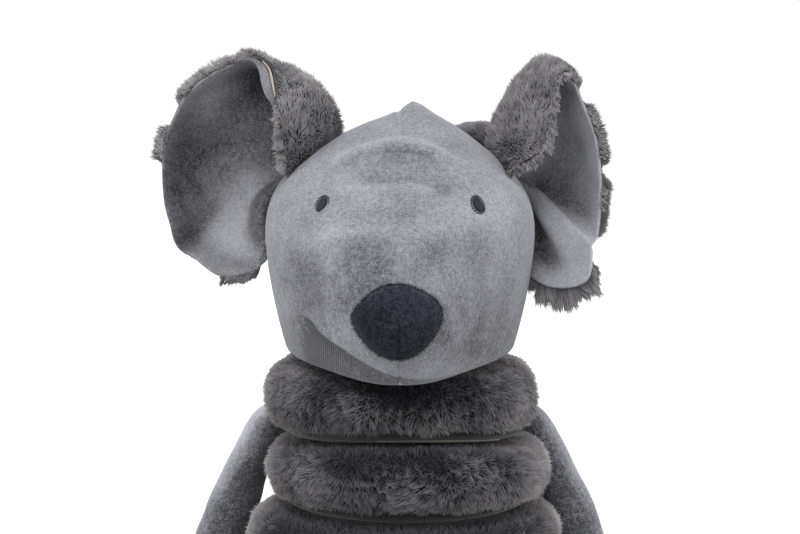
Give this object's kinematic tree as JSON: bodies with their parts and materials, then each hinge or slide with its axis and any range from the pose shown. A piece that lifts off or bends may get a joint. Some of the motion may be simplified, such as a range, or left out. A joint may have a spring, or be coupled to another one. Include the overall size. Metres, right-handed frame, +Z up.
{
  "type": "plush mouse dog toy",
  "caption": "Sitting plush mouse toy with a velour head, cupped fur-backed ears, stacked fur rings for a body, soft limbs, a tail and a squeaker inside.",
  "frame": {"origin": "centre of the flat base panel that the toy sits on", "axes": "+Z up through the stacked body, the face looks along -Y, +X towards the toy's own left"},
  "size_m": [0.2426, 0.318, 0.3404],
  "materials": {
    "velour": "short brushed velour, light grey",
    "fur": "dense soft pile, dark warm grey",
    "knit": "fine knit backing, grey",
    "nose_velour": "short velour, blue-black",
    "eye_thread": "satin embroidery thread, blue-black",
    "filling": "polyester fibre filling, off-white",
    "squeaker_plastic": "soft translucent plastic",
    "reed_plastic": "moulded plastic"
  },
  "bodies": {
    "torso": {"tier_1_fur": "fur", "tier_2_fur": "fur", "tier_3_fur": "fur", "tier_4_fur": "fur", "tier_5_fur": "fur", "tier_1_filling": "filling", "tier_2_filling": "filling", "tier_3_filling": "filling", "tier_4_filling": "filling", "tier_5_filling": "filling", "tier_1_underside": "knit", "tier_2_underside": "knit", "tier_3_underside": "knit", "tier_4_underside": "knit", "base_panel": "knit", "core_tube": "knit", "core_filling_lower": "filling", "core_filling_upper": "filling", "squeaker_base": "squeaker_plastic", "squeaker_reed": "reed_plastic", "squeaker_bellows": "squeaker_plastic"},
    "squeaker_top": {"squeaker_cap": "squeaker_plastic"},
    "neck": {"neck_ball": "knit"},
    "head": {"face_panel": "velour", "head_back_panel": "velour", "head_filling": "filling", "nose": "nose_velour", "eye_left": "eye_thread", "eye_right": "eye_thread"},
    "ear_left": {"ear_left_velour": "velour", "ear_left_fur": "fur"},
    "ear_right": {"ear_right_velour": "velour", "ear_right_fur": "fur"},
    "arm_left": {"arm_left_cover": "velour", "arm_left_filling": "filling"},
    "arm_right": {"arm_right_cover": "velour", "arm_right_filling": "filling"},
    "leg_left": {"leg_left_cover": "velour", "leg_left_filling": "filling"},
    "leg_right": {"leg_right_cover": "velour", "leg_right_filling": "filling"},
    "tail": {"tail": "velour"}
  },
  "joints": [
    {"name": "squeaker_press", "type": "slide", "parent": "torso", "child": "squeaker_top", "axis": [0, 0, -1], "range_m": [0, 0.008], "stiffness_N_per_m": 200, "deforming": ["squeaker_bellows"]},
    {"name": "head_turn", "type": "hinge", "parent": "torso", "child": "neck", "pos_m": [0, 0, 0.188], "axis": [0, 0, 1], "range_deg": [-25, 25], "stiffness_Nm_per_rad": 0.06},
    {"name": "head_nod", "type": "hinge", "parent": "neck", "child": "head", "pos_m": [0, 0, 0.188], "axis": [-1, 0, 0], "range_deg": [0, 8]},
    {"name": "ear_left_fold", "type": "hinge", "parent": "head", "child": "ear_left", "pos_m": [0.04, 0.009, 0.2943], "axis": [-0.3993, 0, 0.9168], "range_deg": [-10, 10], "stiffness_Nm_per_rad": 0.08},
    {"name": "ear_right_fold", "type": "hinge", "parent": "head", "child": "ear_right", "pos_m": [-0.04, 0.009, 0.2943], "axis": [0.3993, 0, 0.9168], "range_deg": [-10, 10], "stiffness_Nm_per_rad": 0.08},
    {"name": "arm_left_raise", "type": "hinge", "parent": "torso", "child": "arm_left", "pos_m": [0.0716, 0.028, 0.139], "axis": [0, -1, 0], "range_deg": [0, 100]},
    {"name": "arm_right_raise", "type": "hinge", "parent": "torso", "child": "arm_right", "pos_m": [-0.0716, 0.028, 0.139], "axis": [0, 1, 0], "range_deg": [0, 100]},
    {"name": "leg_left_lift", "type": "hinge", "parent": "torso", "child": "leg_left", "pos_m": [0.044, -0.077, 0.018], "axis": [-1, 0, 0], "range_deg": [0, 45]},
    {"name": "leg_right_lift", "type": "hinge", "parent": "torso", "child": "leg_right", "pos_m": [-0.044, -0.077, 0.018], "axis": [-1, 0, 0], "range_deg": [0, 45]},
    {"name": "tail_swing", "type": "hinge", "parent": "torso", "child": "tail", "pos_m": [0, 0.0738, 0.0075], "axis": [0, 0, 1], "range_deg": [-35, 35]}
  ]
}
